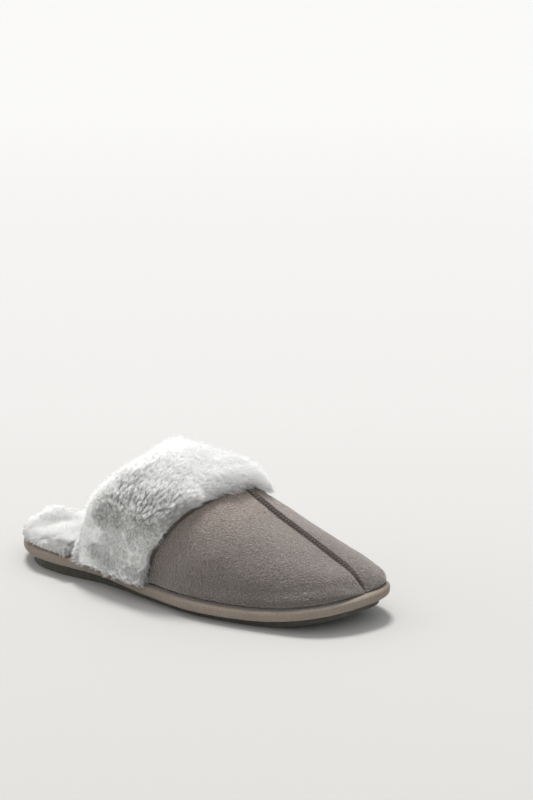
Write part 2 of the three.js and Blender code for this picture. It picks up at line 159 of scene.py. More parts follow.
def noise(points, size, seed):
    """Smooth noise from -1 to 1 with lumps of about that size, from a hashed cubic lattice.
    Points may be a list or a grid, and the noise has the same shape."""
    cell = np.asarray(points, float) / size
    base = np.floor(cell).astype(np.int64)
    t = cell - base
    t = t * t * (3 - 2 * t)
    primes = np.array([73856093, 19349663, 83492791])
    total = np.zeros(cell.shape[:-1])
    for corner in np.ndindex(2, 2, 2):
        key = ((base + corner) * primes).sum(axis=-1) + seed * 40503
        key = ((key ^ (key >> 13)) * 1274126177) & 0x7FFFFFFF
        value = ((key ^ (key >> 15)) & 0xFFFF) / 32767.5 - 1
        total += value * np.prod(np.where(corner, t, 1 - t), axis=-1)
    return total


def swirl(points, size, seed):
    """A smoothly varying direction, as fur has where a brush has moved it about."""
    return np.stack([noise(points, size, seed + k) for k in range(3)], -1)


def resample(grid, rows, columns):
    """A finer grid by cubic interpolation of a coarse one."""
    for axis, count in ((0, rows), (1, columns)):
        grid = np.moveaxis(grid, axis, 0)
        at = np.linspace(0, len(grid) - 1, count)
        i = np.clip(at.astype(int), 0, len(grid) - 2)
        t = (at - i).reshape(-1, *[1] * (grid.ndim - 1))
        p0, p1 = grid[np.maximum(i - 1, 0)], grid[i]
        p2, p3 = grid[i + 1], grid[np.minimum(i + 2, len(grid) - 1)]
        grid = 0.5 * (
            2 * p1 + (p2 - p0) * t + (2 * p0 - 5 * p1 + 4 * p2 - p3) * t**2
            + (3 * p1 - p0 - 3 * p2 + p3) * t**3
        )
        grid = np.moveaxis(grid, 0, axis)
    return grid


def between(grid, row, column):
    """A grid of numbers or vectors looked up at places between its rows and columns."""
    i = np.minimum(row.astype(int), grid.shape[0] - 2)
    j = np.minimum(column.astype(int), grid.shape[1] - 2)
    s, t = row - i, column - j
    if grid.ndim == 3:
        s, t = s[..., None], t[..., None]
    near, far = mix(grid[i, j], grid[i + 1, j], s), mix(grid[i, j + 1], grid[i + 1, j + 1], s)
    return mix(near, far, t)


# ---- the slipper's lines and surfaces ---------------------------------------------------------------

platform_underside = profile(PLATFORM_UNDERSIDE)
footbed_inset = profile(FOOTBED_INSET)
foam_thickness = profile(FOOTBED_FOAM)
pile_height = profile(FOOTBED_PILE)
outline = Spline([(x, y, 0) for x, y in OUTLINE], closed=True)

platform_low, platform_high = (np.array(corner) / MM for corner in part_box("platform_binding"))
SHIFT = (platform_low + platform_high) / 2 - (outline.line.min(axis=0) + outline.line.max(axis=0)) / 2
SHIFT[2] = platform_low[2] - platform_underside(np.linspace(-131, 131, 400)).min()


def to_frame(points):
    return (np.asarray(points, float) + SHIFT) * MM


def platform_top(x):
    return platform_underside(x) + PLATFORM_HEIGHT


def inset_outline(inset, count):
    """Points round the platform's edge, moved in by a distance that may depend on x."""
    share = np.arange(count) / count
    points, along = outline.at(share), outline.along(share)
    distance = inset(points[:, 0]) if callable(inset) else np.full(count, float(inset))
    outward = np.stack([-along[:, 1], along[:, 0], np.zeros(count)], -1)
    return points - outward * distance[:, None]


OUTLINE_POINTS = 900


def outline_sides(inset):
    """The inset outline's two ends in x, and y as a function of x on each side."""
    loop = inset_outline(inset, OUTLINE_POINTS)
    toe, heel = loop[:, 0].argmax(), loop[:, 0].argmin()
    forward = np.roll(loop, -toe, axis=0)
    lateral = forward[: (heel - toe) % len(loop) + 1][::-1]
    medial = forward[(heel - toe) % len(loop):]
    line = {"lateral": lateral, "medial": medial}
    y = {side: (lambda x, p=p: np.interp(x, p[:, 0], p[:, 1])) for side, p in line.items()}
    return loop[heel, 0], loop[toe, 0], y


def on_rim(points):
    points = np.array(points, float)
    points[:, 2] = platform_top(points[:, 0]) + GAP
    return points


def seam_end(inset):
    _, toe_x, y = outline_sides(inset)
    xs = np.linspace(toe_x - 14, toe_x, 400)
    x = np.interp(SEAM_END_Y, y["lateral"](xs), xs)
    return on_rim([(x, SEAM_END_Y, 0)])[0]


def rim_curve(side, depth):
    """The upper's foot on the platform, from the topline forward to the seam's end."""
    loop = inset_outline(UPPER_INSET + depth, 180)
    end = seam_end(UPPER_INSET + depth)
    y = outline_sides(UPPER_INSET + depth)[2][side]
    beside = loop[:, 1] < SEAM_END_Y if side == "lateral" else loop[:, 1] > SEAM_END_Y
    onside = loop[beside & (loop[:, 0] > TOPLINE_RIM_X + 1.5)]
    onside = onside[np.argsort(np.arctan2(onside[:, 1] - SEAM_END_Y, onside[:, 0] - TOPLINE_RIM_X - 40))]
    if side == "medial":
        onside = onside[::-1]
    start = (TOPLINE_RIM_X, float(y(TOPLINE_RIM_X)), 0)
    far = np.hypot(onside[:, 0] - end[0], onside[:, 1] - end[1]) > 1.5
    return Spline(on_rim([start, *onside[far], end]), steps=8)


def crest_curve(depth):
    """The line where the two panels meet, from the topline to the toe."""
    line = np.array([*SEAM, seam_end(UPPER_INSET)], float)
    ahead = line[np.minimum(np.arange(len(SEAM)) + 1, len(SEAM))]
    behind = line[np.maximum(np.arange(len(SEAM)) - 1, 0)]
    along = unit(ahead - behind)
    inward = np.stack([along[:, 2], np.zeros(len(SEAM)), -along[:, 0]], -1)
    return Spline([*(line[:-1] + inward * depth), seam_end(UPPER_INSET + depth)])


edge_curves_made = {}


def edge_curves(side, depth):
    key = (side, round(depth, 3))
    if key not in edge_curves_made:
        edge_curves_made[key] = (rim_curve(side, depth), crest_curve(depth))
    return edge_curves_made[key]


ARC_STEPS = 40


def upper_point(side, along, rise, depth):
    """Points of the upper: along 0 topline to 1 toe, rise 0 rim to 1 crest, depth inside the face."""
    rim, crest = edge_curves(side, depth)
    along, rise = np.broadcast_arrays(np.asarray(along, float), np.asarray(rise, float))
    shape = along.shape
    share, rise = np.maximum(along.ravel(), 0), rise.ravel()
    foot, top = rim.at(share)[:, None], crest.at(share)[:, None]
    angle = np.linspace(0, math.pi / 2, ARC_STEPS + 1)
    power = 2 / ROUNDNESS[side]
    inward = np.clip(np.cos(angle), 0, 1) ** power
    height = np.sin(angle) ** power
    forward = inward[None] ** mix(RIB_BEND, 1, share)[:, None]
    arc = np.stack([
        mix(top[..., 0], foot[..., 0], forward),
        mix(top[..., 1], foot[..., 1], inward[None]),
        mix(foot[..., 2], top[..., 2], height[None]),
    ], -1)
    pieces = np.linalg.norm(np.diff(arc, axis=1), axis=2)
    reach = np.concatenate([np.zeros((len(share), 1)), np.cumsum(pieces, axis=1)], axis=1)
    wanted = rise * reach[:, -1]
    i = np.clip((reach <= wanted[:, None]).sum(axis=1) - 1, 0, ARC_STEPS - 1)
    row = np.arange(len(share))
    t = (wanted - reach[row, i]) / np.maximum(pieces[row, i], 1e-9)
    point = mix(arc[row, i], arc[row, i + 1], np.clip(t, 0, 1)[:, None])
    return point.reshape(*shape, 3)


CUFF_FRONT_CURVE = 1.3


def cuff_front(side, rise):
    """The cuff's sewn front edge, as a share of the upper's length."""
    rim, crest = edge_curves(side, 0)
    climb = np.sin(rise * math.pi / 2) ** CUFF_FRONT_CURVE
    low = rim.share_at_x(CUFF_FRONT_RIM_X[side])
    swing = CUFF_LEAD[side] * np.sin(rise**2 * math.pi)
    return mix(low, crest.share_at_x(CUFF["front_seam_x"]), climb) + swing


# ---- meshes -----------------------------------------------------------------------------------------


def add_mesh(name, points, faces, materials, face_slots=None, smooth=True):
    """An object from points in construction millimetres and arrays of triangles or quads."""
    mesh = bpy.data.meshes.new(name)
    mesh.vertices.add(len(points))
    mesh.vertices.foreach_set("co", to_frame(points).astype(np.float32).ravel())
    corners = np.concatenate([f.ravel() for f in faces])
    sizes = np.concatenate([np.full(len(f), f.shape[1]) for f in faces])
    mesh.loops.add(len(corners))
    mesh.loops.foreach_set("vertex_index", corners.astype(np.int32))
    mesh.polygons.add(len(sizes))
    starts = np.concatenate([[0], np.cumsum(sizes)[:-1]])
    mesh.polygons.foreach_set("loop_start", starts.astype(np.int32))
    for material in materials:
        mesh.materials.append(material)
    if face_slots is not None:
        mesh.polygons.foreach_set("material_index", face_slots.astype(np.int32))
    mesh.polygons.foreach_set("use_smooth", np.full(len(sizes), smooth))
    mesh.update(calc_edges=True)
    piece = bpy.data.objects.new(name, mesh)
    bpy.context.scene.collection.objects.link(piece)
    return piece


def ribbon_solid(outer, inner, looped=False):
    """Points and quads of a closed solid between two grids of stations by points."""
    ring = np.concatenate([outer, inner[:, ::-1]], axis=1)
    stations, size = ring.shape[:2]
    index = np.arange(stations * size).reshape(stations, size)
    here = index if looped else index[:-1]
    there = np.roll(index, -1, axis=0) if looped else index[1:]
    quads = [np.stack([here, np.roll(here, -1, 1), np.roll(there, -1, 1), there], -1).reshape(-1, 4)]
    if not looped:
        k = np.arange(size // 2 - 1)
        for row, order in ((index[0], 1), (index[-1], -1)):
            cap = np.stack([row[k], row[size - 1 - k], row[size - 2 - k], row[k + 1]], -1)
            quads.append(cap[:, ::order])
    points, quads = ring.reshape(-1, 3), np.concatenate(quads)
    a, b, c, d = (points[quads[:, i]] for i in range(4))
    volume = (np.cross(a, b) * c).sum() + (np.cross(a, c) * d).sum()
    return points, quads if volume > 0 else quads[:, ::-1]


def tube(line, radius, sides=6):
    """Points and quads of a closed round thread along a line of points."""
    line = np.asarray(line, float)
    along = unit(np.gradient(line, axis=0))
    side = unit(np.cross([0.05, 0.02, 1.0], along))
    up = np.cross(along, side)
    angle = np.arange(sides * 2) / (sides * 2) * 2 * math.pi
    around = side[:, None] * np.cos(angle)[:, None] + up[:, None] * np.sin(angle)[:, None]
    ring = line[:, None] + radius * around
    return ribbon_solid(ring[:, :sides], ring[:, :sides - 1:-1])


def joined(parts):
    """Several (points, faces) as one."""
    points, faces, offset = [], [], 0
    for part_points, part_faces in parts:
        points.append(part_points)
        faces.append(part_faces + offset)
        offset += len(part_points)
    return np.concatenate(points), np.concatenate(faces)


def grid_normals(grid, outward_from=None):
    normals = unit(np.cross(np.gradient(grid, axis=0), np.gradient(grid, axis=1)))
    if outward_from is not None and ((grid - outward_from) * normals).sum() < 0:
        normals = -normals
    return normals


# ---- materials --------------------------------------------------------------------------------------


class Shader:
    """A material with one Principled shader, and short ways to add and link nodes."""

    def __init__(self, name, color, roughness, **values):
        self.material = bpy.data.materials.new(name)
        self.material.use_nodes = True
        self.tree = self.material.node_tree
        self.principled = self.tree.nodes["Principled BSDF"]
        self.principled.inputs["Base Color"].default_value = (*color, 1)
        self.principled.inputs["Roughness"].default_value = roughness
        for key, value in values.items():
            self.principled.inputs[key.replace("_", " ")].default_value = value
        self.material.diffuse_color = (*color, 1)
        self.place = None

    def node(self, kind, **settings):
        node = self.tree.nodes.new(kind)
        for key, value in settings.items():
            if hasattr(node, key):
                setattr(node, key, value)
            else:
                node.inputs[key.replace("_", " ")].default_value = value
        return node

    def link(self, output, target):
        self.tree.links.new(output, target)

    def where(self):
        if self.place is None:
            self.place = self.node("ShaderNodeTexCoord").outputs["Object"]
        return self.place

    def noise(self, size_mm, detail=2.0, distortion=0.0, roughness=0.5):
        node = self.node(
            "ShaderNodeTexNoise", Scale=1 / (size_mm * MM), Detail=detail, Distortion=distortion,
            Roughness=roughness,
        )
        self.link(self.where(), node.inputs["Vector"])
        return node.outputs["Fac"]

    def ramp(self, value, stops):
        """Colours by value: stops are (position, (r, g, b)), or (position, grey)."""
        node = self.node("ShaderNodeValToRGB")
        elements = node.color_ramp.elements
        while len(elements) < len(stops):
            elements.new(0.5)
        for element, (position, color) in zip(elements, stops):
            element.position = position
            element.color = (*((color,) * 3 if np.isscalar(color) else color), 1)
        self.link(value, node.inputs["Fac"])
        return node.outputs["Color"]

    def multiply(self, a, b):
        """One colour times another."""
        node = self.node("ShaderNodeMix", data_type="RGBA", blend_type="MULTIPLY")
        factor, first, second, product = node.inputs[0], node.inputs[6], node.inputs[7], node.outputs[2]
        factor.default_value = 1
        self.link(a, first)
        self.link(b, second)
        return product

    def bump(self, heights):
        """Bump from (value, depth in mm) pairs, one over the other."""
        normal = None
        for height, depth_mm in heights:
            node = self.node("ShaderNodeBump", Distance=depth_mm * MM, Strength=1.0)
            self.link(height, node.inputs["Height"])
            if normal is not None:
                self.link(normal, node.inputs["Normal"])
            normal = node.outputs["Normal"]
        self.link(normal, self.principled.inputs["Normal"])

    def paint(self, color):
        self.link(color, self.principled.inputs["Base Color"])
        return self.material


def scaled(color, factor):
    return tuple(c * factor for c in color)


def suede_material():
    """Brushed microfibre with a worm-like nap, and painted shade and light: darker at the rim, paler
    towards the crest.
    """
    base = (0.128, 0.098, 0.079)
    shader = Shader("suede_nap", base, 0.52, Sheen_Weight=0.9, Sheen_Roughness=0.42)
    shader.principled.inputs["Sheen Tint"].default_value = (0.95, 0.88, 0.82, 1)
    shader.principled.inputs["Specular IOR Level"].default_value = 1.0
    nap = shader.noise(1.35, detail=1.5, distortion=1.2)
    fine = shader.noise(0.6, detail=1)
    strokes = shader.noise(24, detail=3, distortion=0.6)
    grain = shader.ramp(nap, [(0.4, scaled(base, 0.7)), (0.5, base), (0.6, scaled(base, 1.32))])
    speckle = shader.ramp(fine, [(0.3, 0.84), (0.7, 1.16)])
    tone = shader.ramp(strokes, [(0.3, 0.93), (0.7, (1.06, 1.05, 1.04))])
    color = shader.multiply(shader.multiply(grain, speckle), tone)
    # Painted shade and light by height: the colour darkens low at the rim and pales high towards the crest.
    height = shader.node("ShaderNodeVectorMath", operation="DOT_PRODUCT")
    height.inputs[1].default_value = (-0.05, 0, 1)
    shader.link(shader.where(), height.inputs[0])
    climb = shader.node("ShaderNodeMapRange", From_Min=0.010, From_Max=0.072)
    shader.link(height.outputs["Value"], climb.inputs["Value"])
    painted_shade_and_light_by_height = shader.ramp(climb.outputs["Result"], [
        (0, 0.33), (0.09, 0.56), (0.5, 0.81), (1, (1.75, 1.72, 1.69)),
    ])
    shader.bump([(nap, 1.4), (fine, 0.4)])
    return shader.paint(shader.multiply(color, painted_shade_and_light_by_height))


def tape_material():
    """Ribbed woven tape: the ribs are shape, and the yarn shows as fine flecks."""
    base = (0.262, 0.215, 0.171)
    shader = Shader("tape_weave", base, 0.85, Sheen_Weight=0.6, Sheen_Roughness=0.5)
    yarn = shader.noise(0.45, detail=2)
    stain = shader.noise(16, detail=2)
    flecks = shader.ramp(yarn, [(0.3, scaled(base, 0.78)), (0.7, scaled(base, 1.2))])
    tone = shader.ramp(stain, [(0.3, (0.93, 0.92, 0.91)), (0.7, 1.06)])
    shader.bump([(yarn, 0.06)])
    return shader.paint(shader.multiply(flecks, tone))


def rubber_material():
    """Moulded rubber, matt, a little paler where it has rubbed."""
    base = (0.072, 0.070, 0.056)
    shader = Shader("outsole_moulded", base, 0.62)
    shader.principled.inputs["Specular IOR Level"].default_value = 0.35
    pores = shader.noise(0.7, detail=3)
    scuffs = shader.noise(9, detail=5, distortion=1.2, roughness=0.6)
    color = shader.ramp(scuffs, [
        (0.35, scaled(base, 0.8)), (0.55, base), (0.75, scaled(base, 1.5)),
    ])
    shader.bump([(pores, 0.05)])
    return shader.paint(color)


def flecked_material(name, base, roughness, flecks, stops, bump_mm, **values):
    """A plain material whose one noise, flecks, gives darker and paler shades of a colour, and bumps."""
    shader = Shader(name, base, roughness, **values)
    grain = shader.noise(**flecks)
    shader.bump([(grain, bump_mm)])
    return shader.paint(shader.ramp(grain, [(place, scaled(base, shade)) for place, shade in stops]))


def foam_material(name, base, cell_mm):
    return flecked_material(
        name, base, 0.95, {"size_mm": cell_mm, "detail": 3}, [(0.3, 0.8), (0.7, 1.08)], 0.15)


def undercoat_material(name, dark, pale):
    """The short dense fur that shows between the tufts."""
    shader = Shader(name, pale, 0.95, Sheen_Weight=0.3, Sheen_Roughness=0.5)
    tufts = shader.noise(2.6, detail=3, distortion=0.5)
    hairs = shader.noise(0.5, detail=2)
    color = shader.ramp(tufts, [(0.38, dark), (0.62, pale)])
    shader.bump([(tufts, 0.5), (hairs, 0.2)])
    return shader.paint(shader.multiply(color, shader.ramp(hairs, [(0.3, 0.85), (0.7, 1.1)])))


def hair_materials():
    """Fine fibres let light through; each is greyer at its root, and one in a few stays grey."""
    tones = {
        "root": (0.86, 0.86, 0.83), "middle": (0.975, 0.975, 0.96), "tip": (0.99, 0.99, 0.98),
        "grey_middle": (0.70, 0.70, 0.66), "grey_tip": (0.90, 0.90, 0.88),
    }
    return [
        Shader(
            f"fur_{name}", tone, 0.8, Subsurface_Weight=1.0, Subsurface_Scale=0.002,
            Subsurface_Radius=(1, 1, 1),
        ).material
        for name, tone in tones.items()
    ]


MATERIALS = {
    "suede": suede_material(),
    "tape": tape_material(),
    "rubber": rubber_material(),
    "eva": foam_material("eva_foam_closed", (0.62, 0.59, 0.52), 0.8),
    "cushion": foam_material("cushion_foam_open", (0.74, 0.72, 0.64), 1.2),
    "board": flecked_material(
        "fibre_board_flecked", (0.36, 0.33, 0.29), 0.9, {"size_mm": 1.6, "detail": 4, "distortion": 1.5},
        [(0.35, 0.6), (0.6, 1.15)], 0.05,
    ),
    "thread": flecked_material(
        "seam_thread_spun", (0.060, 0.048, 0.040), 0.75, {"size_mm": 0.55, "detail": 2, "distortion": 0.5},
        [(0.35, 0.6), (0.65, 1.8)], 0.08, Sheen_Weight=0.3, Sheen_Roughness=0.4,
    ),
    "undercoat": undercoat_material("fur_undercoat", (0.70, 0.70, 0.68), (0.84, 0.84, 0.825)),
    # A darker copy of the undercoat: painted shade, for where the fur parts on the cuff and in patches on
    # the footbed.
    "shade": undercoat_material("fur_undercoat_painted_shade", (0.42, 0.42, 0.39), (0.76, 0.76, 0.73)),
    "plush": undercoat_material("lining_plush", (0.66, 0.65, 0.62), (0.84, 0.83, 0.80)),
    "hairs": hair_materials(),
}


def finish_piece(piece, slot, *nodes, fill=None):
    """Rides on the one body and stands for its CAD nodes, which it hides; the slot it is given is not used.
    """
    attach(piece, "root")
    if nodes:
        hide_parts(*nodes)
    return piece


# ---- carried-over CAD nodes -------------------------------------------------------------------------

CARRIED = {
    "outsole": "rubber", "midsole_foam": "eva", "insole_board": "board", "footbed_foam": "cushion",
    "vamp_padding_lateral": "cushion", "vamp_padding_medial": "cushion", "cuff_seam_thread": "thread",
}
for node_name, finish in CARRIED.items():
    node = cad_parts[node_name]
    node.data.materials.clear()
    node.data.materials.append(MATERIALS[finish])

# ---- the platform's ribbed tape ---------------------------------------------------------------------

TAPE = {"rib_pitch": 1.1, "rib_depth": 0.42, "points_per_rib": 6, "lump_size": 7, "lump_height": 0.12}


def tape_section(depth, turn_steps, flat_steps):
    """(inset, height) points across the tape, from its lip on top round to the flange beneath."""
    corner, radius = BINDING["corner"], BINDING["corner"] - depth
    quarter = np.linspace(0, math.pi / 2, turn_steps)
    turn = np.stack([corner - radius * np.sin(quarter), corner - radius * np.cos(quarter)], -1)
    top = np.linspace([BINDING["lip"], depth], turn[0], flat_steps)[:-1]
    beneath = np.linspace(turn[0], [BINDING["flange"], depth], flat_steps)[1:]
    upper = np.concatenate([top, turn])
    upper[:, 1] = PLATFORM_HEIGHT - upper[:, 1]
    lower = np.concatenate([turn[::-1], beneath])
    face = np.linspace(upper[-1], lower[0], 3)[1:-1]
    return np.concatenate([upper, face, lower])


def tape():
    ribs = round(outline.length / TAPE["rib_pitch"])
    stations = ribs * TAPE["points_per_rib"]
    section = {"outer": tape_section(0, 6, 3), "inner": tape_section(BINDING["thickness"], 2, 2)}
    grids = {}
    for face, line in section.items():
        rows = [inset_outline(inset, stations) for inset, _ in line]
        grid = np.stack(rows, axis=1)
        grid[:, :, 2] = platform_underside(grid[:, :, 0]) + line[:, 1]
        grids[face] = grid
    outer = grids["outer"]
    columns = outer.shape[1]
    normals = grid_normals(outer)
    middle = columns // 2
    if (normals[0, middle] * (outer[0, middle] - outer.reshape(-1, 3).mean(axis=0))).sum() < 0:
        normals = -normals
    phase = np.arange(stations) / TAPE["points_per_rib"] * 2 * math.pi
    wave = (np.cos(phase) - 1) / 2 * TAPE["rib_depth"]
    across = np.clip(np.minimum(np.arange(columns), columns - 1 - np.arange(columns)) / 2, 0, 1)
    lumps = noise(outer, TAPE["lump_size"], 5) * TAPE["lump_height"]
    grids["outer"] = outer + normals * ((wave[:, None] + lumps) * across)[..., None]
    points, quads = ribbon_solid(grids["outer"], grids["inner"], looped=True)
    piece = add_mesh("platform_tape", points, [quads], [MATERIALS["tape"]])
    finish_piece(piece, "binding_tape", "platform_binding")


# ---- the suede panels -------------------------------------------------------------------------------

PANEL = {"rows": 230, "columns": 150, "end": 0.996}
# Distances from the seam's line at which the turned-up edge has its own columns, in millimetres.
RIDGE_COLUMNS = [3.4, 2.8, 2.3, 1.95, 1.7, 1.5, 1.3, 1.05, 0.8, 0.5, 0.28, 0.15]
RIDGE = {"height": 1.8, "width": 1.45}
RIM_TUCK = {"in": 1.8, "out": 1.9, "tuck_reach": 2.2, "bulge_reach": 12.0}
# The simulation's cloth is ten times life size, which Blender's solver handles better.
# The cap is in millimetres.
PUFF = {
    "rows": 50, "columns": 36, "scale": 10, "frames": 20, "pressure": 2.4, "growth": 0.008, "cap": 1.8,
    "ironing": 6,
}
CLOTH = {"quality": 6, "mass": 0.3, "air_damping": 8, "bending_stiffness": 20, "use_pressure": True}
INSIDE = (30, 0, 30)


def crest_lift_direction(along):
    """Straight out of the seam's line, in the side view."""
    step = edge_curves("lateral", 0)[1].along(np.minimum(along, 0.98))
    return unit(np.stack([-step[..., 2], np.zeros(step.shape[:-1]), step[..., 0]], -1))


def panel_grid(side, rows, columns, end):
    """Points of one side's face, with the share along and the rise of each."""
    along = end * np.sin(np.linspace(0, math.pi / 2, rows))
    lengths = np.linalg.norm(
        np.diff(upper_point(side, along[:, None], np.linspace(0, 1, 40)[None], 0), axis=1), axis=2,
    ).sum(axis=1)
    near = np.array(RIDGE_COLUMNS)[None] * np.minimum(1, lengths[:, None] / 24)
    edge = 1 - near / lengths[:, None]
    plain = np.linspace(0, 1, columns - len(RIDGE_COLUMNS) + 1)[:-1]
    rise = np.concatenate([plain[None] * edge[:, :1], edge], axis=1)
    along = np.broadcast_to(along[:, None], rise.shape)
    return upper_point(side, along, rise, 0), along, rise, lengths


def puffed(side):
    """How far the padded suede swells between its sewn edges: a cloth simulation on a coarse grid."""
    rows, columns, scale = PUFF["rows"], PUFF["columns"], PUFF["scale"]
    along = np.broadcast_to(
        (PANEL["end"] * np.sin(np.linspace(0, math.pi / 2, rows)))[:, None], (rows, columns))
    rise = np.broadcast_to(np.linspace(0, 1, columns)[None], (rows, columns))
    grid = upper_point(side, along, rise, 0)
    index = np.arange(rows * columns).reshape(rows, columns)
    quads = np.stack([index[:-1, :-1], index[1:, :-1], index[1:, 1:], index[:-1, 1:]], -1).reshape(-1, 4)
    normals = grid_normals(grid, INSIDE)
    first = np.cross(grid[1, 0] - grid[0, 0], grid[1, 1] - grid[1, 0])
    if (first * normals[0, 0]).sum() < 0:
        quads = quads[:, ::-1]
    cloth_piece = add_mesh(f"puff_{side}", grid.reshape(-1, 3), [quads], [])
    rest = grid.reshape(-1, 3) * MM * scale
    cloth_piece.data.vertices.foreach_set("co", rest.astype(np.float32).ravel())
    cloth_piece.data.update()
    sewn = (along <= cuff_front(side, rise) + 0.02) | (rise == 0) | (rise > 0.97) | (along > 0.97)
    group = cloth_piece.vertex_groups.new(name="sewn")
    group.add(np.nonzero(sewn.ravel())[0].tolist(), 1.0, "REPLACE")
    cloth = cloth_piece.modifiers.new("Cloth", "CLOTH")
    for setting, value in CLOTH.items():
        setattr(cloth.settings, setting, value)
    cloth.settings.vertex_group_mass = "sewn"
    cloth.settings.uniform_pressure_force = PUFF["pressure"]
    cloth.settings.shrink_min = -PUFF["growth"]
    cloth.settings.effector_weights.gravity = 0
    cloth.point_cache.frame_end = PUFF["frames"]
    for step in range(1, PUFF["frames"] + 1):
        bpy.context.scene.frame_set(step)
    shown = cloth_piece.evaluated_get(bpy.context.evaluated_depsgraph_get())
    moved = np.zeros(rows * columns * 3, np.float32)
    shown.data.vertices.foreach_get("co", moved)
    moved = (moved.reshape(-1, 3) - rest) / (MM * scale)
    bpy.data.objects.remove(cloth_piece)
    bpy.context.scene.frame_set(1)
    length = np.linalg.norm(moved, axis=1, keepdims=True)
    moved = (moved * np.minimum(1, PUFF["cap"] / np.maximum(length, 1e-9))).reshape(rows, columns, 3)
    # Well-stuffed suede lies smooth, so the small creases are ironed out.
    for _ in range(PUFF["ironing"]):
        moved[1:-1, 1:-1] = (
            moved[:-2, 1:-1] + moved[2:, 1:-1] + moved[1:-1, :-2] + moved[1:-1, 2:]) / 4
    return moved


def at_share(grid, along, rise, end):
    """A coarse grid of vectors looked up at each point's share along and rise."""
    rows, columns = 400, 300
    row = np.arcsin(np.clip(along / end, 0, 1)) / (math.pi / 2) * (rows - 1)
    return between(resample(grid, rows, columns), row, np.clip(rise, 0, 1) * (columns - 1))


def panel(side):
    grid, along, rise, lengths = panel_grid(side, PANEL["rows"], PANEL["columns"], PANEL["end"])
    normals = grid_normals(grid, INSIDE)
    grid = grid + at_share(puffed(side), along, rise, PANEL["end"])
    lumps = noise(grid, 14, 11) * 0.35 + noise(grid, 5, 12) * 0.14 + noise(grid, 1.6, 13) * 0.05
    open_face = smoothstep(along - cuff_front(side, rise), 0, 0.03)
    from_rim, from_seam = rise * lengths[:, None], (1 - rise) * lengths[:, None]
    # Everything gets smaller towards the toe, where the panel narrows to a point.
    size, ridge_size = np.minimum(1, lengths[:, None] / 30), np.minimum(1, lengths[:, None] / 24)
    tuck = -RIM_TUCK["in"] * (1 - smoothstep(from_rim, 0, RIM_TUCK["tuck_reach"] * size))
    swell = RIM_TUCK["out"] * smoothstep(from_rim, 0, 3 * size) * (
        1 - smoothstep(from_rim, 3 * size, RIM_TUCK["bulge_reach"] * size))
    away = smoothstep(from_seam, 2, 8) * smoothstep(from_rim, 0.5, 4)
    move = (tuck + swell) * size + lumps * away
    grid = grid + normals * (move * open_face)[..., None]
    inner = grid - normals * SUEDE_THICKNESS
    # The turned-up edge beside the seam.
    begins = edge_curves("lateral", 0)[1].share_at_x(CUFF["front_seam_x"])
    height = RIDGE["height"] * smoothstep(along, begins - 0.02, begins + 0.02) * ridge_size
    across = (from_seam - RIDGE_COLUMNS[-1]) / (RIDGE["width"] * ridge_size)
    round_top = np.sqrt(np.clip(1 - (2 * across - 1) ** 2, 0, 1)) * (across <= 1)
    foot = 0.25 * np.exp(-((across - 1) / 0.5) ** 2)
    lift = height * np.maximum(np.maximum(round_top, foot * (across > 0.5)), (across < 0.5) * 0.55)
    grid = grid + crest_lift_direction(along) * lift[..., None]
    points, quads = ribbon_solid(grid, inner)
    piece = add_mesh(f"suede_{side}", points, [quads], [MATERIALS["suede"]])
    finish_piece(piece, "suede", f"vamp_{side}", fill=0.7)


# ---- the centre seam's stitches ---------------------------------------------------------------------

STITCH = {"pitch": 2.1, "radius": 0.4, "reach": 1.85, "low": 0.35, "points": 12, "end": 0.965}


# The bights over the ridge: how proud they stand (in their radius), their wobble, their size at the toe.
BIGHT = {"proud": 0.8, "wobble": 0.12, "toe_size": 0.8}
# The chain along the ridge's foot, in millimetres; its thickness is in that of the bights.
CHAIN = {"lift": 0.15, "bob": 0.12, "sway": 0.28, "sway_along": 0.6, "outset": 0.12, "thickness": 0.8}


def seam_stitches():
    """Overlock thread: slanted bights over the ridge, and a chain along the foot of each side."""
    crest = edge_curves("lateral", 0)[1]
    start = crest.share_at_x(CUFF["front_seam_x"]) - 0.01
    count = round((STITCH["end"] - start) * crest.length / STITCH["pitch"])
    steps = np.linspace(0, count, count * STITCH["points"] + 1)
    share = mix(start, STITCH["end"], steps / count)
    base, out = crest.at(share), crest_lift_direction(share)
    size = mix(1.0, BIGHT["toe_size"], smoothstep(share, 0.85, 0.97))[:, None]
    turn = steps * 2 * math.pi
    over = np.cos(turn)
    top = RIDGE["height"] + STITCH["radius"] * BIGHT["proud"]
    lift = STITCH["low"] + (top - STITCH["low"]) * (1 - np.abs(over) ** 3)
    sideways = np.stack([np.zeros(len(share)), over * STITCH["reach"], np.zeros(len(share))], -1)
    wobble = noise(base, 2.5, 31)[:, None] * BIGHT["wobble"]
    bights = base + (sideways + out * lift[:, None]) * size + wobble * out
    parts = [tube(bights, STITCH["radius"])]
    for side in (-1, 1):
        sway = CHAIN["sway"] * np.sin(turn + side)
        outset = side * (STITCH["reach"] + CHAIN["outset"]) + sway
        chain = base + size * (
            out * (STITCH["low"] + CHAIN["lift"] + CHAIN["bob"] * np.cos(turn))[:, None]
            + np.stack([sway * CHAIN["sway_along"], outset, np.zeros(len(share))], -1))
        parts.append(tube(chain, STITCH["radius"] * CHAIN["thickness"]))
    points, quads = joined(parts)
    piece = add_mesh("seam_stitches", points, [quads], [MATERIALS["thread"]])
    finish_piece(piece, "thread", "centre_seam_thread")


# ---- fur --------------------------------------------------------------------------------------------


